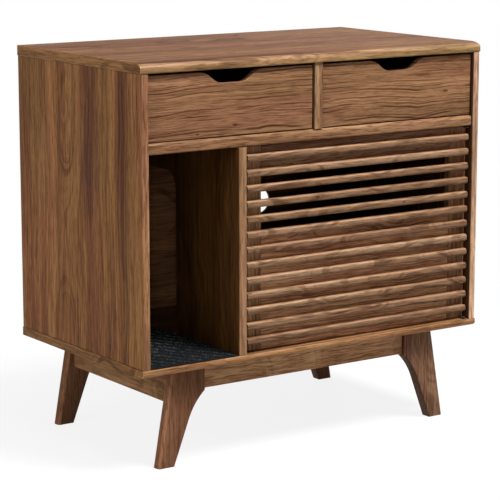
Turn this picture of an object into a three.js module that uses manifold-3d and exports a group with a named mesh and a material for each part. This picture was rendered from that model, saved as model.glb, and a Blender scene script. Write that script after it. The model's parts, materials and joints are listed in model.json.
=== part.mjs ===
// Walnut-veneered cabinet that hides a cat's litter box: an open entry bay with a floor mat on the left,
// an arched passage through the bay divider, a slatted door in front of the litter compartment,
// two drawers above and a splayed-leg base. Millimetres, +Z up, front towards -Y,
// origin on the floor under the middle of the cabinet.
import * as THREE from 'three';
import { mergeVertices } from 'three/addons/utils/BufferGeometryUtils.js';
import Module from 'manifold-3d';

const wasm = await Module();
wasm.setup();

// ---------------------------------------------------------------- driving dimensions
const WIDTH = 800; // over the top and bottom slabs
const DEPTH = 460;
const HEIGHT = 770;

const JOINT = 0.25; // glue line between boards that meet
const SOFT = 1; // radius on the arrises of the boards
const SOFT_STEPS = 2;

// carcase
const TOP_THICK = 20;
const BASE_TOP = 204; // height of the cabinet's floor
const BASE_THICK = 17;
const NOSE_DEPTH = 25; // how far the slabs' front slope runs back
const TOP_NOSE = 9; // height of the slope on the top slab
const BASE_NOSE = 7.5; // height of the slope under the bottom slab
const NOSE_ARRIS = 2.5; // radius on the slabs' other front arris
const SIDE_THICK = 15;
const SIDE_INSET = 1.5; // side panels stand this far inside the slabs' edges
const BACK_THICK = 5;
const RABBET = 8; // how far the back panel laps into each side panel
const SHELF_THICK = 21;
const DRAWER_BAY = 127; // clear height of the drawer openings
const SHELF_INSET = 3; // the shelf's and centre divider's fronts lie behind the side panels' fronts
const SHELF_ROUND = 7;
const SHELF_UNDER_ROUND = 3;
const CENTRE_THICK = 20;
const DIVIDER_THICK = 17;
const ENTRY_WIDTH = 198; // clear width of the open entry bay

// arched passage through the bay divider
const ARCH_WIDTH = 196;
const ARCH_RADIUS = 35;
const ARCH_HEAD = 72; // board left above the passage
const ARCH_TAIL = 37.75; // board left behind it

// vent in the back panel
const VENT_RAISE = 203; // vent's middle above the cabinet's floor
const VENT_LENGTH = 196;
const VENT_HEIGHT = 54;

// base
const FOOT_INSET = 53; // outer edge of a foot inside the slab's end, at the floor
const FOOT_WIDTH = 35;
const LEG_THICK = 23;
const LEG_ROUND = 8; // radius along a leg's outer edges
const LEG_SPLAY = 10; // degrees, outer edge
const LEG_TAPER = 21; // degrees, inner edge
const LEG_SHOULDER = 88; // height where the inner edge starts to curve
const LEG_CURVE = 130; // radius of that curve
const LEG_REACH = 105; // from the foot's outer edge to where the wing meets the front apron
const FRONT_LEG_SETBACK = 35; // from the slab's front to the front legs
const BACK_LEG_SETBACK = 23;
const APRON_THICK = 15;
const APRON_HEIGHT = 45;
const SIDE_APRON_HEIGHT = 69;
const APRON_RECESS = 6.5; // apron face behind the leg's face
const SIDE_APRON_INSET = 38; // side apron's face inside the foot's outer edge

// drawers
const DRAWER_FRONT_THICK = 15;
const DRAWER_RECESS = 7; // front's face behind the side panels' fronts
const DRAWER_SIDE_GAP = 2;
const DRAWER_TOP_GAP = 4.5;
const DRAWER_UNDER_GAP = 1.75;
const BOX_WALL = 12;
const BOX_HEIGHT = 85;
const BOX_TAIL = 39; // free space behind the drawer box
const BOX_RAISE = 13; // box bottom above the shelf
const BOX_PANEL = 4; // drawer bottom
const BOX_PANEL_RAISE = 8;
const BOX_GROOVE = 5;
const NOTCH_WIDTH = 140;
const NOTCH_FLAT = 40;
const NOTCH_DEPTH = 22;

// slides of the drawers: a lipped channel on the cabinet and a smaller one on the box
const SLIDE_SPACE = 12.75;
const SLIDE_HEIGHT = 45;
const SLIDE_STEEL = 1.5;
const SLIDE_LIP = 4;
const SLIDE_PLAY = 0.4;
const SLIDE_SHORT = 42; // slides end this far before the back of the box
const SLIDE_SETBACK = 8; // front end of a cabinet channel behind the drawer front
const SLIDE_RAISE = 20; // channel's underside above the box bottom

// slatted door
const DOOR_THICK = 15;
const DOOR_RECESS = 17; // frame's face behind the side panels' fronts
const DOOR_SIDE_GAP = 2.5;
const DOOR_FOOT_GAP = 2;
const DOOR_HEAD_GAP = 2.5;
const STILE_WIDTH = 42;
const SLATS = 13;
const RAIL_SLAT = 2; // this slat covers the lower edge of the top rail
const RAIL_LAP = 1.2; // the rail ends this far below that slat's middle
const PANEL_SLAT = 6; // this one covers the upper edge of the panel under the window
const PANEL_LAP = 2; // the panel ends this far above that slat's middle
const SLAT_HEIGHT = 13.5;
const SLAT_DEPTH = 12.75;
const SLAT_ROUND = 6;
const SLAT_INSET = 2.5; // slat ends inside the frame's edges
const SLAT_FIRST = 23.5; // first slat's middle under the drawer shelf
const SLAT_LAST = 22.9; // last slat's middle above the cabinet's floor

// pivots of the door: a cranked plate with a pin in a flanged bush, above and below
const PIVOT_IN = 7; // pin's axis from the right side panel
const PIVOT_SETBACK = 9.5; // and behind the side panels' fronts
const PIN_RADIUS = 2;
const PIN_LENGTH = 8;
const PIN_PLAY = 0.3;
const BUSH_WALL = 1.1;
const BUSH_DEPTH = 9;
const BUSH_FLANGE_RADIUS = 5;
const PLATE_THICK = 2;
const PLATE_LENGTH = 34;
const PLATE_WIDTH = 9;
const PLATE_NOSE = 4.5;
const PIVOT_GAP = 0.35; // between a plate and the flange that it turns on

// magnetic catch
const CATCH_WIDTH = 36;
const CATCH_DEPTH = 15;
const CATCH_HEIGHT = 13;
const CATCH_GAP = 0.3;
const STRIKE_WIDTH = 26;
const STRIKE_HEIGHT = 10;
const STRIKE_THICK = 1.25;

// floor mat
const MAT_THICK = 5;
const MAT_CLEAR = 1;
const MAT_RADIUS = 6;

// ---------------------------------------------------------------- places worked out from them
const FRONT = -DEPTH / 2;
const BACK = DEPTH / 2;
const TOP_UNDER = HEIGHT - TOP_THICK;
const BASE_UNDER = BASE_TOP - BASE_THICK;
const SIDE_OUTER = WIDTH / 2 - SIDE_INSET;
const SIDE_INNER = SIDE_OUTER - SIDE_THICK;
const PANEL_FRONT = FRONT + SIDE_INSET;
const BACK_FACE = BACK - BACK_THICK; // inner face of the back panel
const INSIDE_BACK = BACK_FACE - JOINT; // where shelf and dividers end
const SHELF_TOP = TOP_UNDER - DRAWER_BAY;
const SHELF_UNDER = SHELF_TOP - SHELF_THICK;
const SHELF_FRONT = PANEL_FRONT + SHELF_INSET;
const DIVIDER_LEFT = -SIDE_INNER + ENTRY_WIDTH;
const DIVIDER_RIGHT = DIVIDER_LEFT + DIVIDER_THICK;
const FRONT_LEG_FACE = FRONT + FRONT_LEG_SETBACK;
const BACK_LEG_FACE = BACK - BACK_LEG_SETBACK;
const APRON_TOP = BASE_UNDER - JOINT;
const FOOT_OUTER = WIDTH / 2 - FOOT_INSET;
const WING_INNER = FOOT_OUTER - LEG_REACH;
const ARCH_BACK = INSIDE_BACK - ARCH_TAIL;
const ARCH_FRONT = ARCH_BACK - ARCH_WIDTH;
const VENT_X = (DIVIDER_RIGHT + SIDE_INNER) / 2;
const VENT_Z = BASE_TOP + VENT_RAISE;
const DRAWER_FACE = PANEL_FRONT + DRAWER_RECESS;
const BOX_FRONT = DRAWER_FACE + DRAWER_FRONT_THICK + JOINT;
const BOX_BACK = INSIDE_BACK - BOX_TAIL;
const SLIDE_LENGTH = BOX_BACK - BOX_FRONT - SLIDE_SHORT;
const DOOR_FACE = PANEL_FRONT + DOOR_RECESS;
const DOOR_BACK = DOOR_FACE + DOOR_THICK;
const DOOR_LEFT = DIVIDER_RIGHT + DOOR_SIDE_GAP;
const DOOR_RIGHT = SIDE_INNER - DOOR_SIDE_GAP;
const DOOR_FOOT = BASE_TOP + DOOR_FOOT_GAP;
const DOOR_HEAD = SHELF_UNDER - DOOR_HEAD_GAP;
const SLAT_PITCH = (SHELF_UNDER - BASE_TOP - SLAT_FIRST - SLAT_LAST) / (SLATS - 1);
const slatMiddle = (count) => SHELF_UNDER - SLAT_FIRST - (count - 1) * SLAT_PITCH;
const PIVOT_X = SIDE_INNER - PIVOT_IN;
const PIVOT_Y = PANEL_FRONT + PIVOT_SETBACK;
const BUSH_RADIUS = PIN_RADIUS + PIN_PLAY + BUSH_WALL;

// ---------------------------------------------------------------- materials
const finish = (color, roughness, metalness = 0) =>
  new THREE.MeshStandardMaterial({ color, roughness, metalness });
const walnutTop = finish(0x9a6a4c, 0.5);
const walnutSide = finish(0x6e4a32, 0.55);
const walnutFront = finish(0x8d6245, 0.55);
const walnutEdge = finish(0xa67a52, 0.55);
const walnutLeg = finish(0x74503a, 0.5);
const boxBoard = finish(0x8a7460, 0.7);
const steel = finish(0x8d9092, 0.35, 0.9);
const bushPlastic = finish(0x2a2623, 0.5);
const brownPlastic = finish(0x4a3424, 0.5);
const matPile = finish(0x2b2d2f, 0.95);

// ---------------------------------------------------------------- making solids
const cabinet = new THREE.Group();

function place(name, geometry, material, parent = cabinet) {
  const mesh = new THREE.Mesh(geometry, material);
  mesh.name = name;
  parent.add(mesh);
  return mesh;
}

function toSolid(geometry) {
  const bare = geometry.clone();
  bare.deleteAttribute('normal');
  bare.deleteAttribute('uv');
  const merged = mergeVertices(bare, 1e-4);
  return new wasm.Manifold(
    new wasm.Mesh({
      numProp: 3,
      vertProperties: new Float32Array(merged.attributes.position.array),
      triVerts: new Uint32Array(merged.index.array),
    }),
  );
}

function toGeometry(body) {
  const mesh = body.getMesh();
  const geometry = new THREE.BufferGeometry();
  geometry.setAttribute('position', new THREE.BufferAttribute(mesh.vertProperties, 3));
  geometry.setIndex(new THREE.BufferAttribute(mesh.triVerts, 1));
  return geometry;
}

function cut(geometry, ...tools) {
  let body = toSolid(geometry);
  for (const tool of tools) body = body.subtract(toSolid(tool));
  return toGeometry(body);
}

function join(geometry, ...others) {
  let body = toSolid(geometry);
  for (const other of others) body = body.add(toSolid(other));
  return toGeometry(body);
}

function common(geometry, other) {
  return toGeometry(toSolid(geometry).intersect(toSolid(other)));
}

// the directions that a shape's x, its y and the extrusion take for each way of extruding
const TURN = {
  x: [new THREE.Vector3(0, 1, 0), new THREE.Vector3(0, 0, 1), new THREE.Vector3(1, 0, 0)],
  y: [new THREE.Vector3(1, 0, 0), new THREE.Vector3(0, 0, 1), new THREE.Vector3(0, -1, 0)],
  z: [new THREE.Vector3(1, 0, 0), new THREE.Vector3(0, 1, 0), new THREE.Vector3(0, 0, 1)],
};

// extrudes a shape between two values of an axis, with its end arrises rounded by soft
function extrude(shape, axis, from, to, soft = 0, curveSegments = 6) {
  const geometry = new THREE.ExtrudeGeometry(shape, {
    depth: to - from - 2 * soft,
    curveSegments,
    bevelEnabled: soft > 0,
    bevelThickness: soft,
    bevelSize: soft,
    bevelOffset: -soft,
    bevelSegments: SOFT_STEPS,
  });
  geometry.translate(0, 0, soft);
  geometry.applyMatrix4(new THREE.Matrix4().makeBasis(...TURN[axis]));
  const shift = axis === 'y' ? to : from;
  geometry.translate(axis === 'x' ? shift : 0, axis === 'y' ? shift : 0, axis === 'z' ? shift : 0);
  return geometry;
}

function polygon(points) {
  return new THREE.Shape(points.map(([x, y]) => new THREE.Vector2(x, y)));
}

function rectangle(left, right, low, high) {
  return polygon([[left, low], [right, low], [right, high], [left, high]]);
}

// a rectangle with a radius of its own at each corner: low left, low right, high right, high left
function roundRectangle(left, right, low, high, [ll, lr, hr, hl]) {
  const shape = new THREE.Shape();
  shape.moveTo(left + ll, low);
  shape.lineTo(right - lr, low);
  if (lr > 0) shape.absarc(right - lr, low + lr, lr, -Math.PI / 2, 0, false);
  shape.lineTo(right, high - hr);
  if (hr > 0) shape.absarc(right - hr, high - hr, hr, 0, Math.PI / 2, false);
  shape.lineTo(left + hl, high);
  if (hl > 0) shape.absarc(left + hl, high - hl, hl, Math.PI / 2, Math.PI, false);
  shape.lineTo(left, low + ll);
  if (ll > 0) shape.absarc(left + ll, low + ll, ll, Math.PI, 1.5 * Math.PI, false);
  return shape;
}

// a board between two corners, extruded through its thickness
function board([x0, x1], [y0, y1], [z0, z1], soft = SOFT) {
  const spans = { x: x1 - x0, y: y1 - y0, z: z1 - z0 };
  const thin = Object.keys(spans).sort((a, b) => spans[a] - spans[b])[0];
  if (thin === 'x') return extrude(rectangle(y0, y1, z0, z1), 'x', x0, x1, soft);
  if (thin === 'y') return extrude(rectangle(x0, x1, z0, z1), 'y', y0, y1, soft);
  return extrude(rectangle(x0, x1, y0, y1), 'z', z0, z1, soft);
}

// ---------------------------------------------------------------- carcase
// slab outline seen from the side: a flat front face with a long slope on one side of it
function slabOutline(square, sloped, nose) {
  const way = Math.sign(sloped - square);
  const shape = new THREE.Shape();
  shape.moveTo(BACK, square);
  shape.lineTo(FRONT + NOSE_ARRIS, square);
  shape.quadraticCurveTo(FRONT, square, FRONT, square + way * NOSE_ARRIS);
  shape.lineTo(FRONT, sloped - way * nose);
  shape.quadraticCurveTo(FRONT + NOSE_DEPTH / 6, sloped - way * nose / 6, FRONT + NOSE_DEPTH, sloped);
  shape.lineTo(BACK, sloped);
  return shape;
}

function makeSlabs() {
  const top = slabOutline(TOP_UNDER, HEIGHT, TOP_NOSE);
  place('top_panel', extrude(top, 'x', -WIDTH / 2, WIDTH / 2, SOFT), walnutTop);
  const base = slabOutline(BASE_TOP, BASE_UNDER, BASE_NOSE);
  const floor = extrude(base, 'x', -WIDTH / 2, WIDTH / 2, SOFT);
  place('bottom_panel', cut(floor, bushSocket(BASE_TOP, -1)), walnutTop);
}

function makeSides() {
  for (const [name, side] of [['left_side_panel', -1], ['right_side_panel', 1]]) {
    const span = [side * SIDE_OUTER, side * SIDE_INNER].sort((a, b) => a - b);
    const panel = board(span, [PANEL_FRONT, BACK], [BASE_TOP + JOINT, TOP_UNDER - JOINT]);
    const lap = [side * (SIDE_INNER - SIDE_THICK), side * (SIDE_INNER + RABBET + JOINT)];
    const rabbet = extrude(
      rectangle(Math.min(...lap), Math.max(...lap), INSIDE_BACK, BACK + SIDE_THICK),
      'z', BASE_UNDER, HEIGHT,
    );
    place(name, cut(panel, rabbet), walnutSide);
  }
}

function makeShelf() {
  const outline = roundRectangle(
    SHELF_FRONT, INSIDE_BACK, SHELF_UNDER, SHELF_TOP, [SHELF_UNDER_ROUND, 0, 0, SHELF_ROUND],
  );
  const shelf = extrude(outline, 'x', -SIDE_INNER + JOINT, SIDE_INNER - JOINT, SOFT);
  place('drawer_shelf', cut(shelf, bushSocket(SHELF_UNDER, 1)), walnutEdge);
}

function makeDividers() {
  const centre = board(
    [-CENTRE_THICK / 2, CENTRE_THICK / 2], [SHELF_FRONT, INSIDE_BACK], [SHELF_TOP + JOINT, TOP_UNDER - JOINT],
  );
  place('centre_divider', centre, walnutEdge);

  const low = BASE_TOP + JOINT;
  const crown = SHELF_UNDER - ARCH_HEAD;
  const outline = new THREE.Shape();
  outline.moveTo(PANEL_FRONT, low);
  outline.lineTo(ARCH_FRONT, low);
  outline.lineTo(ARCH_FRONT, crown - ARCH_RADIUS);
  outline.absarc(ARCH_FRONT + ARCH_RADIUS, crown - ARCH_RADIUS, ARCH_RADIUS, Math.PI, Math.PI / 2, true);
  outline.lineTo(ARCH_BACK - ARCH_RADIUS, crown);
  outline.absarc(ARCH_BACK - ARCH_RADIUS, crown - ARCH_RADIUS, ARCH_RADIUS, Math.PI / 2, 0, true);
  outline.lineTo(ARCH_BACK, low);
  outline.lineTo(INSIDE_BACK, low);
  outline.lineTo(INSIDE_BACK, SHELF_UNDER - JOINT);
  outline.lineTo(PANEL_FRONT, SHELF_UNDER - JOINT);
  place('bay_divider', extrude(outline, 'x', DIVIDER_LEFT, DIVIDER_RIGHT, SOFT, 10), walnutSide);
}

function makeBack() {
  const reach = SIDE_INNER + RABBET;
  const outline = rectangle(-reach, reach, BASE_TOP + JOINT, TOP_UNDER - JOINT);
  const end = VENT_HEIGHT / 2;
  const run = VENT_LENGTH / 2 - end;
  const vent = new THREE.Path();
  vent.moveTo(VENT_X - run, VENT_Z - end);
  vent.lineTo(VENT_X + run, VENT_Z - end);
  vent.absarc(VENT_X + run, VENT_Z, end, -Math.PI / 2, Math.PI / 2, false);
  vent.lineTo(VENT_X - run, VENT_Z + end);
  vent.absarc(VENT_X - run, VENT_Z, end, Math.PI / 2, 1.5 * Math.PI, false);
  outline.holes.push(vent);
  place('back_panel', extrude(outline, 'y', BACK_FACE, BACK, 0, 10), walnutSide);
}

// ---------------------------------------------------------------- base
// right-hand leg seen from the front: foot, splayed outer edge, wing under the slab, curved inner edge
function legOutline() {
  const splay = Math.tan(THREE.MathUtils.degToRad(LEG_SPLAY));
  const taper = THREE.MathUtils.degToRad(LEG_TAPER);
  const footInner = FOOT_OUTER - FOOT_WIDTH;
  const bendX = footInner - LEG_SHOULDER * Math.tan(taper);
  const centreX = bendX - LEG_CURVE * Math.cos(taper);
  const centreZ = LEG_SHOULDER - LEG_CURVE * Math.sin(taper);
  const wingAngle = Math.acos(THREE.MathUtils.clamp((WING_INNER - centreX) / LEG_CURVE, -1, 1));
  const shape = new THREE.Shape();
  shape.moveTo(footInner, 0);
  shape.lineTo(FOOT_OUTER, 0);
  shape.lineTo(FOOT_OUTER - APRON_TOP * splay, APRON_TOP);
  shape.lineTo(WING_INNER, APRON_TOP);
  shape.lineTo(WING_INNER, centreZ + LEG_CURVE * Math.sin(wingAngle));
  shape.absarc(centreX, centreZ, LEG_CURVE, wingAngle, taper, true);
  return shape;
}

// prism that follows the outer edge and rounds the leg's two outer arrises
function legRounding(low, high) {
  const round = Math.min(LEG_ROUND, (high - low) / 2.2);
  const plan = roundRectangle(0, FOOT_OUTER, low, high, [0, round, round, 0]);
  const prism = extrude(plan, 'z', -BASE_THICK, APRON_TOP + BASE_THICK);
  const lean = Math.tan(THREE.MathUtils.degToRad(LEG_SPLAY));
  return prism.applyMatrix4(new THREE.Matrix4().makeShear(0, 0, 0, 0, -lean, 0));
}

function mirrorX(geometry) {
  const mirrored = geometry.clone();
  const position = mirrored.attributes.position;
  for (let i = 0; i < position.count; i += 1) position.setX(i, -position.getX(i));
  const index = mirrored.index;
  for (let i = 0; i < index.count; i += 3) {
    const first = index.getX(i);
    index.setX(i, index.getX(i + 1));
    index.setX(i + 1, first);
  }
  return mirrored;
}

function makeLegs() {
  for (const [end, low, high] of [
    ['front', FRONT_LEG_FACE, FRONT_LEG_FACE + LEG_THICK],
    ['back', BACK_LEG_FACE - LEG_THICK, BACK_LEG_FACE],
  ]) {
    const leg = common(extrude(legOutline(), 'y', low, high, SOFT, 8), legRounding(low, high));
    place(`${end}_right_leg`, leg, walnutLeg);
    place(`${end}_left_leg`, mirrorX(leg), walnutLeg);
  }
}

function makeAprons() {
  const across = [-WING_INNER + JOINT, WING_INNER - JOINT];
  const height = [APRON_TOP - APRON_HEIGHT, APRON_TOP];
  const frontFace = FRONT_LEG_FACE + APRON_RECESS;
  const backFace = BACK_LEG_FACE - APRON_RECESS;
  place('front_apron', board(across, [frontFace, frontFace + APRON_THICK], height), walnutLeg);
  place('back_apron', board(across, [backFace - APRON_THICK, backFace], height), walnutLeg);
  const along = [FRONT_LEG_FACE + LEG_THICK + JOINT, BACK_LEG_FACE - LEG_THICK - JOINT];
  const deep = [APRON_TOP - SIDE_APRON_HEIGHT, APRON_TOP];
  const outer = FOOT_OUTER - SIDE_APRON_INSET;
  place('left_apron', board([-outer, -outer + APRON_THICK], along, deep), walnutLeg);
  place('right_apron', board([outer - APRON_THICK, outer], along, deep), walnutLeg);
}

// ---------------------------------------------------------------- drawers
// drawer front with an ogee finger notch cut in its top edge
function drawerFrontOutline(left, right, low, high) {
  const middle = (left + right) / 2;
  const half = NOTCH_WIDTH / 2;
  const flat = NOTCH_FLAT / 2;
  const bend = (half + flat) / 2;
  const floor = high - NOTCH_DEPTH;
  const mid = high - NOTCH_DEPTH / 2;
  const shape = new THREE.Shape();
  shape.moveTo(left, low);
  shape.lineTo(right, low);
  shape.lineTo(right, high);
  shape.lineTo(middle + half, high);
  shape.quadraticCurveTo(middle + (half + bend) / 2, high, middle + bend, mid);
  shape.quadraticCurveTo(middle + (flat + bend) / 2, floor, middle + flat, floor);
  shape.lineTo(middle - flat, floor);
  shape.quadraticCurveTo(middle - (flat + bend) / 2, floor, middle - bend, mid);
  shape.quadraticCurveTo(middle - (half + bend) / 2, high, middle - half, high);
  shape.lineTo(left, high);
  return shape;
}

// channel sections seen along the drawer, opening towards +x, with the web at x = 0
function cabinetChannel() {
  const half = SLIDE_HEIGHT / 2;
  const reach = SLIDE_SPACE - 2 * SLIDE_STEEL;
  const upper = [
    [reach, half - SLIDE_STEEL - SLIDE_LIP], [reach, half], [0, half],
  ];
  const inner = [
    [SLIDE_STEEL, half - SLIDE_STEEL], [reach - SLIDE_STEEL, half - SLIDE_STEEL],
    [reach - SLIDE_STEEL, half - SLIDE_STEEL - SLIDE_LIP],
  ];
  const flip = (points) => points.map(([x, z]) => [x, -z]).reverse();
  return [...upper, ...flip(upper), ...flip(inner), ...inner];
}

function boxChannel() {
  const outside = SLIDE_SPACE - JOINT;
  const web = outside - SLIDE_STEEL;
  const half = SLIDE_HEIGHT / 2 - SLIDE_STEEL - SLIDE_LIP - SLIDE_PLAY;
  const hook = SLIDE_HEIGHT / 2 - SLIDE_STEEL - SLIDE_PLAY;
  const tip = 2 * SLIDE_STEEL;
  const upper = [
    [outside, half], [tip + SLIDE_STEEL, half], [tip + SLIDE_STEEL, hook], [tip, hook],
    [tip, half - SLIDE_STEEL], [web, half - SLIDE_STEEL],
  ];
  return [...upper, ...upper.map(([x, z]) => [x, -z]).reverse()];
}

// side is -1 for the slide on the left of a drawer and 1 for the right; wall is the cabinet's face
function makeSlide(name, section, wall, side, middle, from, parent) {
  const points = section.map(([x, z]) => [wall - side * x, middle + z]);
  const channel = extrude(polygon(points), 'y', from, from + SLIDE_LENGTH);
  place(name, channel, steel, parent);
}

function makeDrawer(name, openLeft, openRight) {
  const drawer = new THREE.Group();
  cabinet.add(drawer);
  const faceBack = DRAWER_FACE + DRAWER_FRONT_THICK;
  const left = openLeft + SLIDE_SPACE;
  const right = openRight - SLIDE_SPACE;
  const low = SHELF_TOP + BOX_RAISE;
  const high = low + BOX_HEIGHT;
  const panelLow = low + BOX_PANEL_RAISE;
  const panelHigh = panelLow + BOX_PANEL;

  // one groove round the box takes the thin bottom panel
  const groove = extrude(
    rectangle(
      left + BOX_WALL - BOX_GROOVE - JOINT, right - BOX_WALL + BOX_GROOVE + JOINT,
      faceBack - BOX_GROOVE - JOINT, BOX_BACK + BOX_WALL,
    ),
    'z', panelLow - JOINT, panelHigh + JOINT,
  );
  const outline = drawerFrontOutline(
    openLeft + DRAWER_SIDE_GAP, openRight - DRAWER_SIDE_GAP,
    SHELF_TOP + DRAWER_UNDER_GAP, TOP_UNDER - DRAWER_TOP_GAP,
  );
  const front = extrude(outline, 'y', DRAWER_FACE, faceBack, SOFT, 8);
  place(`${name}_front`, cut(front, groove), walnutFront, drawer);
  const leftWall = board([left, left + BOX_WALL], [BOX_FRONT, BOX_BACK], [low, high], 0);
  const rightWall = board([right - BOX_WALL, right], [BOX_FRONT, BOX_BACK], [low, high], 0);
  place(`${name}_left_wall`, cut(leftWall, groove), boxBoard, drawer);
  place(`${name}_right_wall`, cut(rightWall, groove), boxBoard, drawer);
  const inside = [left + BOX_WALL + JOINT, right - BOX_WALL - JOINT];
  place(
    `${name}_back_wall`,
    board(inside, [BOX_BACK - BOX_WALL, BOX_BACK], [panelHigh + JOINT, high], 0), boxBoard, drawer,
  );
  place(
    `${name}_bottom`,
    board(
      [left + BOX_WALL - BOX_GROOVE, right - BOX_WALL + BOX_GROOVE],
      [faceBack - BOX_GROOVE, BOX_BACK], [panelLow, panelHigh], 0,
    ),
    boxBoard, drawer,
  );

  const middle = low + SLIDE_RAISE + SLIDE_HEIGHT / 2;
  const slideFront = faceBack + SLIDE_SETBACK;
  for (const [word, wall, side] of [['left', openLeft + JOINT, -1], ['right', openRight - JOINT, 1]]) {
    makeSlide(`${name}_${word}_cabinet_slide`, cabinetChannel(), wall, side, middle, slideFront, cabinet);
    makeSlide(`${name}_${word}_box_slide`, boxChannel(), wall, side, middle, BOX_FRONT, drawer);
  }
}

// ---------------------------------------------------------------- door
function slatOutline(middle) {
  const back = DOOR_FACE - JOINT;
  return roundRectangle(
    back - SLAT_DEPTH, back, middle - SLAT_HEIGHT / 2, middle + SLAT_HEIGHT / 2,
    [SLAT_ROUND, 0, 0, SLAT_ROUND],
  );
}

function makeDoor() {
  const door = new THREE.Group();
  cabinet.add(door);
  const depth = [DOOR_FACE, DOOR_BACK];
  const height = [DOOR_FOOT, DOOR_HEAD];
  const seats = [pivotSeat(DOOR_HEAD, 1), pivotSeat(DOOR_FOOT, -1)];
  const hingeStile = board([DOOR_RIGHT - STILE_WIDTH, DOOR_RIGHT], depth, height);
  place('door_left_stile', board([DOOR_LEFT, DOOR_LEFT + STILE_WIDTH], depth, height), walnutSide, door);
  place('door_right_stile', cut(hingeStile, ...seats), walnutSide, door);
  const inside = [DOOR_LEFT + STILE_WIDTH + JOINT, DOOR_RIGHT - STILE_WIDTH - JOINT];
  const railFoot = slatMiddle(RAIL_SLAT) - RAIL_LAP;
  const panelHead = slatMiddle(PANEL_SLAT) + PANEL_LAP;
  place('door_top_rail', board(inside, depth, [railFoot, DOOR_HEAD]), walnutFront, door);
  place('door_lower_panel', board(inside, depth, [DOOR_FOOT, panelHead]), walnutFront, door);

  const slatEnds = [DOOR_LEFT + SLAT_INSET, DOOR_RIGHT - SLAT_INSET];
  for (let count = 1; count <= SLATS; count += 1) {
    const slat = extrude(slatOutline(slatMiddle(count)), 'x', ...slatEnds, SOFT, 4);
    place(`slat_${String(count).padStart(2, '0')}`, slat, walnutEdge, door);
  }
  place('upper_pivot_plate', pivotPlate(DOOR_HEAD, 1), steel, door);
  place('lower_pivot_plate', pivotPlate(DOOR_FOOT, -1), steel, door);

  const strikeMiddle = DOOR_LEFT + STILE_WIDTH / 2;
  const strikeFace = DOOR_BACK + JOINT;
  const strikeTop = SHELF_UNDER - CATCH_HEIGHT / 2 + STRIKE_HEIGHT / 2 - DOOR_HEAD_GAP;
  place(
    'catch_strike',
    board(
      [strikeMiddle - STRIKE_WIDTH / 2, strikeMiddle + STRIKE_WIDTH / 2],
      [strikeFace, strikeFace + STRIKE_THICK], [strikeTop - STRIKE_HEIGHT, strikeTop], 0,
    ),
    steel, door,
  );
  const catchFace = strikeFace + STRIKE_THICK + CATCH_GAP;
  place(
    'magnetic_catch',
    board(
      [strikeMiddle - CATCH_WIDTH / 2, strikeMiddle + CATCH_WIDTH / 2],
      [catchFace, catchFace + CATCH_DEPTH], [SHELF_UNDER - JOINT - CATCH_HEIGHT, SHELF_UNDER - JOINT], 1,
    ),
    brownPlastic,
  );
}

// a pivot works up into the shelf (way 1) or down into the floor (way -1)
function disc(radius, from, to) {
  const circle = new THREE.Shape();
  circle.absarc(PIVOT_X, PIVOT_Y, radius, 0, 2 * Math.PI, false);
  return extrude(circle, 'z', Math.min(from, to), Math.max(from, to), 0, 12);
}

function plateOutline(grow) {
  const shape = new THREE.Shape();
  const heel = DOOR_FACE + (DOOR_THICK - PLATE_WIDTH) / 2;
  const nose = PLATE_NOSE + grow;
  shape.moveTo(PIVOT_X + nose, PIVOT_Y);
  shape.lineTo(PIVOT_X + nose, heel + PLATE_WIDTH + grow);
  shape.lineTo(PIVOT_X + PLATE_NOSE - PLATE_LENGTH - grow, heel + PLATE_WIDTH + grow);
  shape.lineTo(PIVOT_X + PLATE_NOSE - PLATE_LENGTH - grow, heel - grow);
  shape.lineTo(PIVOT_X - nose, heel - grow);
  shape.lineTo(PIVOT_X - nose, PIVOT_Y);
  shape.absarc(PIVOT_X, PIVOT_Y, nose, Math.PI, 2 * Math.PI, false);
  return shape;
}

function pivotSeat(edge, way) {
  const deep = edge - way * (PLATE_THICK + JOINT);
  const proud = edge + way * PLATE_THICK;
  return extrude(plateOutline(JOINT), 'z', Math.min(deep, proud), Math.max(deep, proud));
}

function pivotPlate(edge, way) {
  const back = edge - way * PLATE_THICK;
  const plate = extrude(plateOutline(0), 'z', Math.min(edge, back), Math.max(edge, back));
  return join(plate, disc(PIN_RADIUS, edge - way * PLATE_THICK / 2, edge + way * PIN_LENGTH));
}

function bushSocket(face, way) {
  return disc(BUSH_RADIUS + JOINT, face - way * BUSH_FLANGE_RADIUS, face + way * (BUSH_DEPTH + JOINT));
}

// flanged bush: its flange stands on the cabinet's face and runs to the plate
function bush(face, doorEdge, way) {
  const seat = face - way * JOINT;
  const flange = disc(BUSH_FLANGE_RADIUS, seat, doorEdge + way * PIVOT_GAP);
  const sleeve = disc(BUSH_RADIUS, seat - way * JOINT, face + way * BUSH_DEPTH);
  const bore = disc(PIN_RADIUS + PIN_PLAY, face - way * BUSH_FLANGE_RADIUS, face + way * BUSH_DEPTH * 2);
  return cut(join(flange, sleeve), bore);
}

function makeBushes() {
  place('upper_pivot_bush', bush(SHELF_UNDER, DOOR_HEAD, 1), bushPlastic);
  place('lower_pivot_bush', bush(BASE_TOP, DOOR_FOOT, -1), bushPlastic);
}

// ---------------------------------------------------------------- mat
function makeMat() {
  const plan = roundRectangle(
    -SIDE_INNER + MAT_CLEAR, DIVIDER_LEFT - MAT_CLEAR, PANEL_FRONT + MAT_CLEAR, INSIDE_BACK - MAT_CLEAR,
    [MAT_RADIUS, MAT_RADIUS, MAT_RADIUS, MAT_RADIUS],
  );
  place('entry_mat', extrude(plan, 'z', BASE_TOP + JOINT, BASE_TOP + JOINT + MAT_THICK, SOFT, 4), matPile);
}

makeSlabs();
makeSides();
makeShelf();
makeDividers();
makeBack();
makeLegs();
makeAprons();
makeDrawer('left_drawer', -SIDE_INNER, -CENTRE_THICK / 2);
makeDrawer('right_drawer', CENTRE_THICK / 2, SIDE_INNER);
makeDoor();
makeBushes();
makeMat();

export default cabinet;
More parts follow.
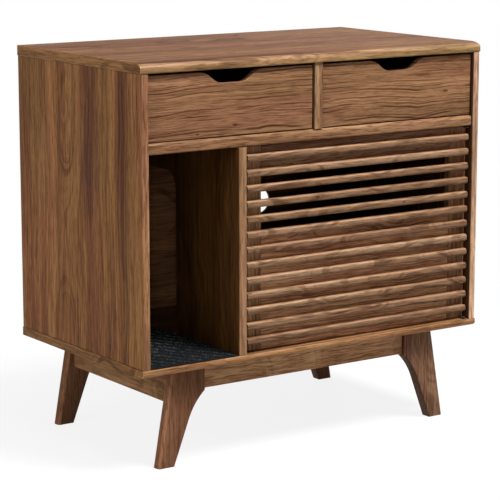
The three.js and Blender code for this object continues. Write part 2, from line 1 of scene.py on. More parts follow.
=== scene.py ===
# %% [markdown]
# # A walnut cabinet that hides a litter box
# This file dresses a finished CAD model. The boards, drawers, door and legs already have their sizes and
# places, in metres, with +Z up and the front towards -Y. Here they get wood, steel, plastic and pile, the
# small fasteners that hold them, and a studio to stand in. Each step is explained before its code.

# %% Load the cabinet
import json
import math

import bmesh
import bpy
from mathutils import Matrix, Vector

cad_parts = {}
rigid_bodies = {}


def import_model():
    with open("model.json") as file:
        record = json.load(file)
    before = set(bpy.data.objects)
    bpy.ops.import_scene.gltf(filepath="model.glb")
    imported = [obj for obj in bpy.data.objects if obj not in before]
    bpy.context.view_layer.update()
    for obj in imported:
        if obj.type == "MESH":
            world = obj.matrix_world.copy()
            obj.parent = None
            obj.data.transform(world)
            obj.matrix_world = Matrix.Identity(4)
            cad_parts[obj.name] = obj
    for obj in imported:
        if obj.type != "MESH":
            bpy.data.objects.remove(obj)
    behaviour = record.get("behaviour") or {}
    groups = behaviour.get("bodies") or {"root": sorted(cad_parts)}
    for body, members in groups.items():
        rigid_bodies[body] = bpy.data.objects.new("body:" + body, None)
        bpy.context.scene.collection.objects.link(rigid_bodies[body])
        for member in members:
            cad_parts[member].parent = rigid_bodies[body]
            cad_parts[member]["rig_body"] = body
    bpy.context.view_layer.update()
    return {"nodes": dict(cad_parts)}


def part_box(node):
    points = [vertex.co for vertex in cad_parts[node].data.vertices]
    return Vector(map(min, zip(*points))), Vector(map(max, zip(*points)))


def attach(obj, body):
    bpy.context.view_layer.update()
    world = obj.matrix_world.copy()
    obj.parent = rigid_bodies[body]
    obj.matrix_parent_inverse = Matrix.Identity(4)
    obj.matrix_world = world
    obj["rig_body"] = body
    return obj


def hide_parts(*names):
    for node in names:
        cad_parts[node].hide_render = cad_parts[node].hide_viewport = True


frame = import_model()
nodes = frame["nodes"]

# %% [markdown]
# ## The camera
# The photograph was taken from the left of the front and from above the top. Its perspective is mild, and
# the camera that fits it stands a little over four metres away. A short lens close by would fan the legs
# out. The camera looks down at a point near the cabinet's middle and has no shift, so that other views
# stay centred too.

# %% Camera
lens, sensor = 148.06, 36  # millimetres
down, left = 0.18609, 0.60754  # radians below level, and round from the front towards the left
eye = bpy.data.cameras.new("eye")
eye.sensor_width, eye.lens = sensor, lens
camera = bpy.data.objects.new("camera", eye)
camera.location = (-2.33091, -3.34898, 1.12147)
camera.rotation_euler = (math.pi / 2 - down, 0, -left)
bpy.context.scene.collection.objects.link(camera)
bpy.context.scene.camera = camera
print("camera to the middle of the floor under it:", round(camera.location.length, 2), "m")

# %% [markdown]
# ## Shader sums
# A finish is worked out by nodes, and long chains of them are hard to read. So a small class wraps a
# socket and lets Python's own signs add the Math nodes. A second class holds a sheet of nodes and adds any
# other node: its settings come first, because they decide which sockets the node has. A third one is the
# sheet of a material, with short words for what the finishes use again and again.

# %% Sockets that can be added and multiplied
class Wire:
    def __init__(self, sheet, socket):
        self.sheet, self.socket = sheet, socket

    def math(self, operation, *values):
        sockets = {i: value for i, value in enumerate(values)}
        return self.sheet.node("ShaderNodeMath", {"operation": operation}, sockets)

    def __add__(self, other): return self.math("ADD", self, other)
    def __radd__(self, other): return self.math("ADD", other, self)
    def __sub__(self, other): return self.math("SUBTRACT", self, other)
    def __rsub__(self, other): return self.math("SUBTRACT", other, self)
    def __mul__(self, other): return self.math("MULTIPLY", self, other)
    def __rmul__(self, other): return self.math("MULTIPLY", other, self)
    def __truediv__(self, other): return self.math("DIVIDE", self, other)
    def __pow__(self, other): return self.math("POWER", self, other)
    def __abs__(self): return self.math("ABSOLUTE", self)
    def __gt__(self, other): return self.math("GREATER_THAN", self, other)


# %% A sheet of nodes
class Sheet:
    def __init__(self, tree):
        self.tree = tree

    def node(self, kind, settings, sockets, out=0):
        node = self.tree.nodes.new(kind)
        for key, value in settings.items():
            if key == "stops":
                ramp = node.color_ramp
                while len(ramp.elements) < len(value):
                    ramp.elements.new(0.5)
                for element, (place, color) in zip(ramp.elements, value):
                    element.position, element.color = place, (*color, 1)
            else:
                setattr(node, key, value)
        for key, value in sockets.items():
            if isinstance(value, Wire):
                self.tree.links.new(value.socket, node.inputs[key])
            else:
                node.inputs[key].default_value = value
        return Wire(self, node.outputs[out])

    def split(self, vector):
        return [self.node("ShaderNodeSeparateXYZ", {}, {0: vector}, i) for i in range(3)]

    def sine(self, angle):
        return self.node("ShaderNodeMath", {"operation": "SINE"}, {0: angle})

    def unlit(self):  # 1 where the camera, a reflection or a clear thing looks, 0 for light
        looks = self.node("ShaderNodeLightPath", {}, {}, "Is Camera Ray")
        for ray in ("Is Glossy Ray", "Is Transmission Ray"):
            looks = looks.math("MAXIMUM", looks, self.node("ShaderNodeLightPath", {}, {}, ray))
        return looks


print("signs that add nodes: + - * / ** abs >")

# %% The sheet of a material
class Finish(Sheet):
    def __init__(self, name):
        self.material = bpy.data.materials.new(name)
        self.material.use_nodes = True
        super().__init__(self.material.node_tree)
        self.shader = self.tree.nodes["Principled BSDF"]

    def place(self):
        return self.split(self.node("ShaderNodeTexCoord", {}, {}, "Object"))

    def facing(self):
        return self.split(self.node("ShaderNodeTexCoord", {}, {}, "Normal"))

    def noise(self, x, y, z, detail=2.0, rough=0.5):
        spot = self.node("ShaderNodeCombineXYZ", {}, {0: x, 1: y, 2: z})
        sockets = {"Vector": spot, "Scale": 1.0, "Detail": detail, "Roughness": rough}
        return self.node("ShaderNodeTexNoise", {}, sockets)

    def ramp(self, value, stops):
        return self.node("ShaderNodeValToRGB", {"stops": stops}, {0: value})

    def mix(self, factor, first, second, way="MIX"):
        settings = {"data_type": "RGBA", "blend_type": way}
        return self.node("ShaderNodeMix", settings, {0: factor, 6: first, 7: second}, 2)

    def stain(self, share, color, tint):
        return self.mix(share, color, (*tint, 1), "MULTIPLY")

    def smooth(self, value, low, high):
        settings = {"interpolation_type": "SMOOTHSTEP"}
        sockets = {0: value, 1: low, 2: high}
        return self.node("ShaderNodeMapRange", settings, sockets)

    def finish(self, color, roughness, height=None, lift=0.0, **steady):
        links = {"Base Color": color, "Roughness": roughness}
        if height is not None:
            bump = {"Height": height, "Distance": lift, "Strength": 1.0}
            links["Normal"] = self.node("ShaderNodeBump", {}, bump)
        for key, value in (*links.items(), *steady.items()):
            key = key.replace("_", " ")
            if isinstance(value, Wire):
                self.tree.links.new(value.socket, self.shader.inputs[key])
            else:
                self.shader.inputs[key].default_value = value
        return self.material


def linear(code):
    parts = [int(code[i:i + 2], 16) / 255 for i in (0, 2, 4)]
    return tuple(p / 12.92 if p <= 0.04045 else ((p + 0.055) / 1.055) ** 2.4 for p in parts)


print("a mid brown, linear:", [round(v, 3) for v in linear("8a6246")])

# %% [markdown]
# ## Walnut
# Such boards are usually chipboard under a printed or sliced walnut skin, and in the photograph each face
# shows long grain: dark growth lines, broad paler and darker streaks, short fine pores, and here and there
# a knot that bends the lines round it. It could be painted by stretched noise alone, but that looks like
# brushed metal. Growth lines are slices through rings, so the pattern is worked out as a tree makes it: the
# distance of a point from a heart line that sways slightly under the face. Where the heart comes near the
# face the rings open into pointed arches, and away from it they run straight. The next cells build this up
# step by step.

# %% Along the grain, across it and into the board
END_FACE = 0.7  # a face turned this far towards the grain is an end, under an edge strip
ACROSS, INTO = 0.37, 0.61  # how far a seed moves the pattern across and into the wood, next to along it


def board_axes(f, grain, skin, seed):
    axes = dict(zip("xyz", f.place()))
    along, across, deep = (axes[a] for a in grain)
    if skin:  # on an end, the grain of the edge strip runs along this axis instead
        end = abs(dict(zip("xyz", f.facing()))[grain[0]]) > END_FACE
        along = along + end * (axes[skin] - along)
        across = across * (1 - end)
    return along + seed, across + ACROSS * seed, deep + INTO * seed


print("a seed of 1 moves the pattern by", (1, ACROSS, INTO), "m")

# %% [markdown]
# ### Knots
# A knot is the foot of a branch. The lines of the wood swell round it, and its core is darker and harder.
# Each one is given by its place along and across the board and by its size.

# %% Knots
def round_knots(f, knots, along, across, bent, unrest, seed):
    cores = None
    for spot_along, spot_across, size in knots:
        side = across - (spot_across + ACROSS * seed)
        reach = ((along - (spot_along + seed)) * 0.4) ** 2.0 + side * side
        swell = f.node("ShaderNodeMath", {"operation": "EXPONENT"}, {0: reach * (-1.0 / size ** 2)})
        bent = bent - swell * side * 0.55
        rim, centre = (0.55 * size) ** 2, (0.1 * size) ** 2
        core = f.smooth(reach + unrest * (0.3 * size * size), rim, centre)
        cores = core if cores is None else cores + core
    return bent, cores


slat_knots = ((0.0, 0.4915, 0.005), (0.213, 0.462, 0.005), (-0.137, 0.55, 0.004))
print("knots on the slats:", len(slat_knots))

# %% [markdown]
# ### Rings
# The rings lie round the heart line. Its place across the board and below the face is given, and how far
# and how often it sways. The face cuts the rings, and what shows is each point's distance from the heart.

# %% Rings
HEART_FALL = 0.2  # how much of the depth into a board counts, so that the edges match the faces
DRIFT = 0.06  # the heart strays up and down from its line by at most half of this


def ring_radius(f, along, across, deep, bent, heart, sway, seed):
    size, length, start = sway
    turn = f.sine(along * (2 * math.pi / length) + start)
    drift = f.noise(along * 4.0, across * 5.0, deep * 5.0, 2.0) - 0.5
    sunk = deep * HEART_FALL + heart[1] + turn * size + drift * DRIFT
    away = bent - (heart[0] + ACROSS * seed)
    return (away * away + sunk * sunk) ** 0.5


def ring_lines(f, radius, density, detail, start=0.0):
    sockets = {"W": radius * density + start, "Scale": 1.0, "Detail": detail}
    return f.node("ShaderNodeTexNoise", {"noise_dimensions": "1D"}, sockets)


print("rings are", 1 / HEART_FALL, "times as deep as they are wide")

# %% [markdown]
# ### Dark marks
# On the broad tones lie dark marks: growth lines that follow the rings, and hairs, strokes and pores along
# the grain. The growth lines also fade in and out, because no line in wood runs evenly from end to end.
# The numbers beside along, bent and deep say how many cells of noise lie in a metre. Few along the grain
# and many across it make long thin marks.

# %% Dark marks
BROWN = (0.42, 0.35, 0.3)


def growth_lines(f, color, radius, along, bent, deep, dense, lines, drawn):
    fade = f.smooth(f.noise(along * 3.0, bent * 30.0, deep * 30.0, 2.0), 0.36, 0.6)
    fine = f.smooth(ring_lines(f, radius, dense, 2.0), 0.48, 0.64)
    color = f.stain(fine * fade * lines, color, BROWN)
    if drawn:  # thin, long, dark lines
        fade = f.smooth(f.noise(along * 9.0, bent * 90.0, deep * 90.0, 1.0), 0.34, 0.56)
        thin = f.smooth(ring_lines(f, radius, 330.0, 1.0, 7.0), 0.51, 0.58)
        color = f.stain(thin * fade * drawn, color, (0.38, 0.29, 0.23))
    return color


def strokes(f, color, along, bent, deep, dash, hairs, pores):
    stroke = f.smooth(f.noise(along * 30.0, bent * 460.0, deep * 460.0, 2.0, 0.6), 0.5, 0.66)
    color = f.stain(stroke * dash, color, (0.42, 0.34, 0.28))
    if hairs:
        hair = f.smooth(f.noise(along * 14.0, bent * 250.0, deep * 250.0, 1.0), 0.52, 0.62)
        color = f.stain(hair * hairs, color, (0.5, 0.42, 0.36))
    return f.stain(pores * 0.4, color, BROWN)


print("brown of growth lines and pores:", BROWN)

# %% [markdown]
# ### Bands and facing
# Some sheets have a broad purple-brown band where the heartwood was cut. Edges are covered with strips from
# other wood, so a face may have its own tint by the way it looks. Other face tints are painted light: faces
# that look into a gap or a hollow get a painted shade, and some upturned faces a painted highlight. The
# rounded upright edges of three of the legs get a painted highlight.

# %% Bands and facing
def heart_bands(f, color, bands, along, across, slow, seed):
    for spot, wide, strength, low, high in bands:
        inside = f.smooth(abs(across - ACROSS * seed - spot + slow * 0.02), wide, wide * 0.5)
        inside = inside * f.smooth(along - seed, low, high) * strength
        color = f.stain(inside, color, (0.55, 0.52, 0.62))
    return color


def face_tints_and_painted_light(f, color, faces, rubbed):
    # some tints colour edge strips; others are painted shade and painted highlights, by the way a face is
    # turned
    for axis, tint, *limit in faces:  # "x" is both ways, "+x" and "-x" are one
        way = dict(zip("xyz", f.facing()))[axis[-1]]
        turned = {"+": way, "-": way * -1.0}.get(axis[0], abs(way))
        low = limit[0] if limit else 0.22
        color = f.stain(f.smooth(turned, low, low + 0.18), color, tint)
    # painted highlight on the rounded upright arrises, where a face turns both sideways and forwards
    if rubbed:
        way = f.facing()
        color = f.stain(f.smooth(abs(way[0] * way[1]), 0.1, 0.4) * rubbed, color, (1.5, 1.5, 1.5))
    return color


# painted shade for faces that look into a gap or a hollow
painted_shade = (0.3, 0.28, 0.24)
print("tint of faces in a gap:", painted_shade)

# %% [markdown]
# ### The whole walnut
# Put together: the axis across the grain is bent by slow and quick unrest, and the rings and streaks give
# the tone. The marks lie on it, a warm or olive cast wanders over both, and bands, knots and the tints of
# faces, among them painted shade and painted highlights, come last. The pores are also a little rougher and
# deeper than the wood between them, so that the light breaks up along the grain.

# %% Walnut, for any grain direction
WALNUT_ROUGH = 0.62


def walnut(name, grain, tones, heart=(0.0, 0.2), sway=(0.0, 1.0, 0.0), rings=26, wave=0.012, ripple=0.0,
           knots=(), bands=(), skin=None, faces=(), seed=0.0, figure=0.5, lines=0.6, dense=190, dash=0.5,
           hue=0.6, soft=0.5, hairs=0.0, rubbed=0.0, drawn=0.0):
    f = Finish(name)
    along, across, deep = board_axes(f, grain, skin, seed)
    slow = f.noise(along * 2.2, across * 8.0, deep * 8.0, 2.0) - 0.5
    quick = f.noise(along * 12.0, across * 26.0, deep * 26.0, 2.0) - 0.5
    bent = across + slow * (2.4 * wave) + quick * (wave * 0.4)
    if ripple:
        bent = bent + (f.noise(along * 24.0, across * 16.0, deep * 16.0, 1.0) - 0.5) * ripple
    bent, cores = round_knots(f, knots, along, across, bent, slow + quick, seed)
    radius = ring_radius(f, along, across, deep, bent, heart, sway, seed)
    streak = f.noise(along * 1.3, bent * 34.0, deep * 34.0, 3.0, 0.6)
    thread = f.noise(along * 7.0, bent * 190.0, deep * 190.0, 3.0, 0.65)
    pores = f.smooth(f.noise(along * 36.0, bent * 800.0, deep * 800.0, 1.0), 0.56, 0.72)
    shade = ring_lines(f, radius, rings, 2.0) * figure + streak * (1 - figure) + (thread - 0.5) * soft
    color = growth_lines(f, f.ramp(shade, tones), radius, along, bent, deep, dense, lines, drawn)
    color = strokes(f, color, along, bent, deep, dash, hairs, pores)
    warm = f.smooth(f.noise(along * 1.6, bent * 15.0, deep * 15.0, 2.0), 0.36, 0.64)
    cast = f.mix(warm, (0.97, 1.04, 0.84, 1), (1.04, 0.91, 0.92, 1))
    color = f.mix(hue, color, cast, "MULTIPLY")
    color = heart_bands(f, color, bands, along, across, slow, seed)
    if cores is not None:
        color = f.stain(cores * 0.85, color, (0.22, 0.15, 0.11))
    color = face_tints_and_painted_light(f, color, faces, rubbed)
    gloss = WALNUT_ROUGH + pores * 0.12 + (streak - 0.5) * 0.1
    return f.finish(color, gloss, pores * -1.0 + thread * 0.25, 0.00012, Specular_IOR_Level=0.1)


def tones(dark, mid, light):
    return [(0.3, linear(dark)), (0.5, linear(mid)), (0.7, linear(light))]


finishes = {}


def cut(name, *grain_and_tones, **habits):
    finishes[name] = walnut(name, *grain_and_tones, **habits)
    print(name, len(finishes[name].node_tree.nodes), "nodes")


print("walnut ready, roughness", WALNUT_ROUGH)

# %% [markdown]
# ### Slabs and sides
# The top and bottom slabs have their grain from side to side and paler strips on their edges. The side
# panels have it upright, with the dark bands of one sheet. All boards of a group share their tones, because
# they come from the same sheets.

# %% Slabs and sides
slab = tones("543621", "734f37", "8a6749")
slab_habits = {"heart": (0.1, 0.35), "wave": 0.006, "skin": "y", "figure": 0.25, "lines": 0.8, "dash": 0.7,
               "hairs": 0.4}
# on the top slab the steep front face, turned more than 0.8 towards -y, gets a painted shade below the
# slope
cut("walnut_top", "xyz", slab, seed=0.3, hue=0.55, **slab_habits,
    faces=(("y", (2.3, 3.1, 3.7)), ("-y", (0.86, 0.85, 0.66), 0.8), ("x", (1.9, 2.15, 1.75))))
cut("walnut_base", "xyz", slab, seed=0.8, hue=0.3, **slab_habits,
    faces=(("y", (2.4, 2.65, 2.4)), ("x", (1.65, 1.8, 1.4))))

side = tones("603d24", "8f613e", "af8154")
side_habits = {"heart": (0.05, 0.12), "sway": (0.02, 0.5, 2.2), "wave": 0.01, "figure": 0.3, "dense": 170,
               "lines": 0.65, "dash": 0.75, "hue": 0.75, "hairs": 0.4,
               "bands": ((-0.043, 0.042, 0.85, 0.4, 0.55), (0.157, 0.05, 0.45, 0.48, 0.66))}
cut("walnut_side", "zyx", side, faces=(("y", (1.05, 1.16, 1.45)),), **side_habits)
# the inner face of the right panel, turned to -x, gets a painted shade
cut("walnut_side_right", "zyx", side, faces=(("y", (2.2, 2.9, 5.3)), ("-x", painted_shade)), **side_habits)

# %% [markdown]
# ### Fronts and strips
# The drawer fronts show long wavy lines and a few knots. Their upper edges get a painted highlight and
# their undersides a painted shade. The rail and the panel lie behind the slats and share one figure; the
# rail has darker tones as painted shade under the shelf, and the panel paler tones as painted light between
# the slats. The slats, the shelf's front and the uprights are wrapped in a plainer strip. A slat gets a
# painted highlight on top, and the sides of the uprights a painted shade.

# %% Drawer fronts, rail and panel
# faces turned up get a painted highlight, and faces turned down a painted shade
cut("walnut_front", "xzy", tones("7a553d", "996f51", "b08464"), heart=(0.45, 0.08), rings=30, wave=0.006,
    ripple=0.0035, knots=((-0.19, 0.644, 0.006), (-0.274, 0.632, 0.005), (0.317, 0.676, 0.007)),
    faces=(("+z", (1.25, 1.3, 1.4)), ("-z", painted_shade)), seed=0.9, dense=430, lines=0.4, dash=0.6, figure=0.25,
    hue=0.5, soft=0.25, hairs=0.4, drawn=1.0)
behind = {"heart": (0.45, 0.08), "rings": 30, "wave": 0.01, "ripple": 0.003, "seed": 0.4, "dense": 400,
          "dash": 0.9, "figure": 0.3, "hue": 0.5}
# darker rail tones: painted shade under the shelf
cut("walnut_rail", "xzy", tones("5c4030", "85614a", "9f7c60"), lines=0.9, hairs=0.6, **behind)
# paler panel tones: painted light in the recess between the slats
cut("walnut_panel", "xzy", tones("8c634a", "c08f6a", "e0b48b"), lines=0.5, hairs=0.4, drawn=0.7, **behind)

# %% Slats, shelf, uprights and stiles
# painted highlight on the slats' upper rounded edges, on faces turned up
cut("walnut_strip", "xzy", tones("7a5a44", "8f6f54", "a2846b"), heart=(0.4, 0.2),
    faces=(("+z", (1.6, 1.57, 1.55), 0.5),), wave=0.003, figure=0.15, seed=1.7, knots=slat_knots,
    dense=320, lines=0.5, dash=0.8, hue=0.15, soft=0.3, drawn=0.6)
cut("walnut_shelf", "xzy", tones("6c4931", "93694c", "ad8866"), heart=(0.4, 0.2), wave=0.006, figure=0.3,
    seed=1.9, dash=0.9, hue=0.4, soft=0.3, hairs=0.5)
# painted shade on the upright's sides, which face into the drawer bays
cut("walnut_upright", "zxy", tones("6c4a33", "946d50", "ad8966"), heart=(0.4, 0.2), faces=(("x", painted_shade),),
    wave=0.006, figure=0.3, seed=2.3, dash=0.9, hue=0.2, hairs=0.5)
cut("walnut_stile", "zxy", tones("6d4b35", "977254", "b4906e"), heart=(0.4, 0.2), wave=0.006, seed=3.4,
    dash=0.9, hue=0.7, hairs=0.5)

# %% [markdown]
# ### Inside and base
# The bay divider has darker tones than the outer boards, as painted shade inside the bay, except on its
# front strip, and the thin back panel is a plain sheet. The legs are stained boards with a calm upright
# grain, and the rails between them have the grain along their length. The inner sides of the right legs
# get a painted shade, and the front and back rails paler tones as painted light under the slab.

# %% Inside, legs and rails
# dark tones as painted shade inside the bay; the front strip, turned to y, is tinted back up
cut("walnut_inner", "zyx", tones("38210e", "563818", "6b4b22"), heart=(0.05, 0.08), wave=0.008,
    faces=(("y", (3.4, 4.2, 9.5)),), seed=3.1, hue=0.2, hairs=0.4)
cut("walnut_back", "xzy", tones("4f3220", "7a5539", "986f4c"), heart=(0.3, 0.1), wave=0.005, seed=4.2,
    hairs=0.4)
leg_habits = {"heart": (0.33, 0.2), "wave": 0.004, "seed": 5.5, "figure": 0.3, "dense": 280, "hue": 0.4}
cut("walnut_leg", "zxy", tones("6e4932", "865d43", "976f53"), lines=0.3, dash=0.7, soft=0.25, hairs=0.4,
    rubbed=0.9, **leg_habits)
# painted shade on the inner sides of the right legs, turned to -x
cut("walnut_leg_right", "zxy", tones("6d4a36", "8f6952", "a58269"), faces=(("-x", (0.4, 0.38, 0.34)),),
    lines=0.5, dash=0.8, soft=0.35, hairs=0.5, **leg_habits)
# paler tones as painted light on the front and back rails, which lie in the slab's shadow
cut("walnut_apron", "xzy", tones("8e6244", "be8c69", "e3b58b"), heart=(0.16, 0.02), sway=(0.01, 0.3, 0.0),
    wave=0.008, seed=6.1, dash=0.9, hairs=0.6)
cut("walnut_apron_side", "yzx", tones("65442e", "9a714f", "c0976e"), heart=(0.16, 0.02), wave=0.008,
    seed=7.3, hairs=0.5)

# %% [markdown]
# ## Lined board, steel, plastic
# The drawer boxes are thin board wrapped in plain brown foil with a faint weave in it. The slides and the
# strike plate are zinc plated sheet, with the soft sheen and fine lines of rolled steel. The pivot plates
# have a dark brown coat that doesn't shine like metal. The catch and the bushes are moulded plastic with a
# fine grain.

# %% Other finishes
def lining():
    f = Finish("drawer_lining")
    x, y, z = f.place()
    cloth = f.noise(x * 900.0, y * 120.0, z * 900.0, 2.0) + f.noise(x * 120.0, y * 900.0, z * 120.0, 2.0)
    color = f.ramp(cloth * 0.5, [(0.3, linear("5d4a3a")), (0.7, linear("7b6551"))])
    return f.finish(color, 0.62 + cloth * 0.05, cloth, 0.00005)


def plated(name, low, high, shine, rough):
    f = Finish(name)
    x, y, z = f.place()
    rolled = f.noise(x * 1400.0, y * 30.0, z * 1400.0, 3.0)
    cloud = f.noise(x * 45.0, y * 45.0, z * 45.0, 3.0)
    color = f.ramp(cloud, [(0.35, low), (0.65, high)])
    return f.finish(color, rough + rolled * 0.16 + cloud * 0.08, rolled, 0.00002, Metallic=shine)


def moulded(name, color, rough, shine=0.5):
    f = Finish(name)
    x, y, z = f.place()
    pebble = f.noise(x * 2600.0, y * 2600.0, z * 2600.0, 2.0)
    cloud = f.noise(x * 60.0, y * 60.0, z * 60.0, 2.0)
    tint = f.mix(cloud, (*[c * 0.85 for c in color], 1), (*[c * 1.15 for c in color], 1))
    return f.finish(tint, rough + pebble * 0.12, pebble, 0.00003, Specular_IOR_Level=shine)


finishes["drawer_lining"] = lining()
finishes["zinc_plate"] = plated("zinc_plate", (0.4, 0.41, 0.42), (0.56, 0.57, 0.58), 1.0, 0.4)
finishes["dark_steel"] = plated("dark_steel", (0.012, 0.008, 0.005), (0.022, 0.015, 0.009), 0.0, 0.7)
finishes["brown_plastic"] = moulded("brown_plastic", linear("4a3424"), 0.4)
finishes["black_plastic"] = moulded("black_plastic", linear("1f130b"), 0.8, 0.05)
print("finishes:", len(finishes))

# %% [markdown]
# ## Boards that keep their CAD mesh
# Most boards are flat, with a one millimetre arris that the CAD model already has, so they only need their
# finish. Two tables say which one, by the name and by its end, and all slats share one. What is left is a
# slide or the strike plate, both of zinc plated steel. The curved ones are replaced by copies further on.

# %% Finish of each node
named = {"top_panel": "walnut_top", "bottom_panel": "walnut_base", "left_side_panel": "walnut_side",
         "right_side_panel": "walnut_side_right", "bay_divider": "walnut_inner",
         "back_panel": "walnut_back", "drawer_shelf": "walnut_shelf", "centre_divider": "walnut_upright",
         "door_top_rail": "walnut_rail", "door_lower_panel": "walnut_panel",
         "front_right_leg": "walnut_leg_right", "front_apron": "walnut_apron",
         "back_apron": "walnut_apron", "magnetic_catch": "brown_plastic", "entry_mat": "black_plastic"}
endings = {"_stile": "walnut_stile", "drawer_front": "walnut_front", "_leg": "walnut_leg",
           "_apron": "walnut_apron_side", "_wall": "drawer_lining", "drawer_bottom": "drawer_lining",
           "_bush": "black_plastic", "pivot_plate": "dark_steel"}


def finish_of(node):
    if node in named:
        return named[node]
    if node.startswith("slat_"):
        return "walnut_strip"
    return next((finish for end, finish in endings.items() if node.endswith(end)), "zinc_plate")


for name, node in nodes.items():
    node.data.materials.clear()
    node.data.materials.append(finishes[finish_of(name)])
print("dressed nodes:", len(nodes))

# %% [markdown]

# %% [markdown]
# ## Curved pieces made smooth
# The CAD mesh of a curved piece is a set of loose flat triangles, and its rounded edges would show as
# narrow facets. A copy with its corners merged can be shaded smooth across shallow angles while real
# corners stay sharp. The copy stands for the CAD piece and moves with the same body.

# %% Smooth copies
SAME_CORNER = 2e-6  # corners closer than this are one
SHARP = 28  # degrees, from which an edge stays sharp


def smoothed(name):
    source = nodes[name]
    shape = bmesh.new()
    shape.from_mesh(source.data)
    bmesh.ops.remove_doubles(shape, verts=shape.verts, dist=SAME_CORNER)
    bmesh.ops.dissolve_degenerate(shape, edges=shape.edges, dist=1e-7)
    return settle(shape, name + "_smooth", source.data.materials[0], source["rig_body"], [name])


def drawn_mesh(shape, name):
    mesh = bpy.data.meshes.new(name)
    shape.to_mesh(mesh)
    shape.free()
    return mesh


def settle(shape, name, finish, body, stands_for):
    return placed(drawn_mesh(shape, name), name, finish, body, stands_for)


def placed(mesh, name, finish, body, stands_for=(), angle=SHARP):
    mesh.materials.clear()
    mesh.materials.append(finish)
    mesh.shade_smooth()
    mesh.set_sharp_from_angle(angle=math.radians(angle))
    piece = bpy.data.objects.new(name, mesh)
    bpy.context.scene.collection.objects.link(piece)
    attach(piece, body)
    plain_name = finish.name.split(".")[0]  # the CAD model's own materials may hold the name already
    if stands_for:
        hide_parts(*stands_for)
    return piece


curved = ["top_panel", "bottom_panel", "drawer_shelf", "bay_divider", "back_panel", "left_drawer_front",
          "right_drawer_front", "upper_pivot_plate", "lower_pivot_plate", "upper_pivot_bush",
          "lower_pivot_bush"]
curved += [f"{end}_{side}_leg" for end in ("front", "back") for side in ("left", "right")]
for name in curved:
    smoothed(name)
print("smooth copies:", len(curved))

# %% [markdown]
# ## Geometry trees
# What repeats is made by Geometry Nodes: one master piece, a rule for the places, and an instance at each.
# The class below opens such a tree with named inputs, so that the sizes stay readable in the modifier. The
# result is turned into a plain mesh at the end, because each piece has to stand by itself.

# %% A geometry tree with named inputs
class Recipe(Sheet):
    KINDS = {float: "NodeSocketFloat", int: "NodeSocketInt", tuple: "NodeSocketVector",
             bpy.types.Object: "NodeSocketObject", bpy.types.Material: "NodeSocketMaterial"}

    def __init__(self, name, **inputs):
        super().__init__(bpy.data.node_groups.new(name, "GeometryNodeTree"))
        face = self.tree.interface
        face.new_socket("Geometry", in_out="INPUT", socket_type="NodeSocketGeometry")
        face.new_socket("Geometry", in_out="OUTPUT", socket_type="NodeSocketGeometry")
        self.values = {}
        for label, value in inputs.items():
            socket = face.new_socket(label, in_out="INPUT", socket_type=self.KINDS[type(value)])
            self.values[socket.identifier] = value
        self.start = self.tree.nodes.new("NodeGroupInput")

    def given(self, label):
        return Wire(self, self.start.outputs[label])

    def close(self, geometry):
        whole = self.node("GeometryNodeRealizeInstances", {}, {0: geometry})
        painted = self.node("GeometryNodeSetMaterial", {}, {0: whole, "Material": self.given("Finish")})
        self.tree.links.new(painted.socket, self.tree.nodes.new("NodeGroupOutput").inputs[0])

    def run(self, mesh):
        holder = bpy.data.objects.new("holder", mesh)
        bpy.context.scene.collection.objects.link(holder)
        modifier = holder.modifiers.new("recipe", "NODES")
        modifier.node_group = self.tree
        for identifier, value in self.values.items():
            modifier[identifier] = value
        graph = bpy.context.evaluated_depsgraph_get()
        made = bpy.data.meshes.new_from_object(holder.evaluated_get(graph), depsgraph=graph)
        bpy.data.objects.remove(holder)
        return made


print("recipe class ready")

# %% [markdown]
# ## The slats
# Thirteen slats with a rounded front lie across the door frame, all alike and evenly spaced, like one
# moulding cut to length. So one slat is drawn as a cross-section, pushed out along its length and softened
# at its ends, and a tree repeats it down the door. Its size, place and pitch are measured on the CAD slats,
# which it replaces. Only its front is rounded less than theirs, by 4.8 mm where they have 6.

# %% One slat
def slat_outline(depth, height, front_round, steps=7):
    outline = [(0.0, -height / 2), (0.0, height / 2)]
    for turn in range(steps + 1):
        a = math.pi / 2 + turn / steps * math.pi / 2
        back, drop = front_round * (1 + math.cos(a)), front_round * (1 - math.sin(a))
        outline.append((-depth + back, height / 2 - drop))
    return outline + [(y, -z) for y, z in reversed(outline[2:])]


def slat_master(length, depth, height, front_round, soft):
    outline = slat_outline(depth, height, front_round)
    shape = bmesh.new()
    rings = []
    for x, inset in ((0, soft), (soft * 0.3, soft * 0.3), (soft, 0), (length - soft, 0),
                     (length - soft * 0.3, soft * 0.3), (length, soft)):
        shrink_y, shrink_z = 1 - 2 * inset / depth, 1 - 2 * inset / height
        rings.append([shape.verts.new((x, -depth / 2 + (y + depth / 2) * shrink_y, z * shrink_z))
                      for y, z in outline])
    for first, second in zip(rings, rings[1:]):
        for i in range(len(outline)):
            j = (i + 1) % len(outline)
            shape.faces.new((first[i], first[j], second[j], second[i]))
    shape.faces.new(list(reversed(rings[0])))
    shape.faces.new(rings[-1])
    bmesh.ops.recalc_face_normals(shape, faces=shape.faces)
    return drawn_mesh(shape, "slat_master")


slat_names = sorted(n for n in nodes if n.startswith("slat_"))
slat_low, slat_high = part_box(slat_names[0])
slat_size = slat_high - slat_low
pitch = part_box(slat_names[1])[0].z - slat_low.z
slat = slat_master(*slat_size, front_round=0.0048, soft=0.001)
print("slat:", [round(v * 1000, 2) for v in slat_size], "mm, pitch:", round(-pitch * 1000, 2), "mm")

# %% [markdown]
# ### The row of slats
# Thirteen copies could be placed by a loop in Python. With a tree, the count, start and pitch stay
# readable as named inputs. A Mesh Line gives the places, and one slat stands at each.

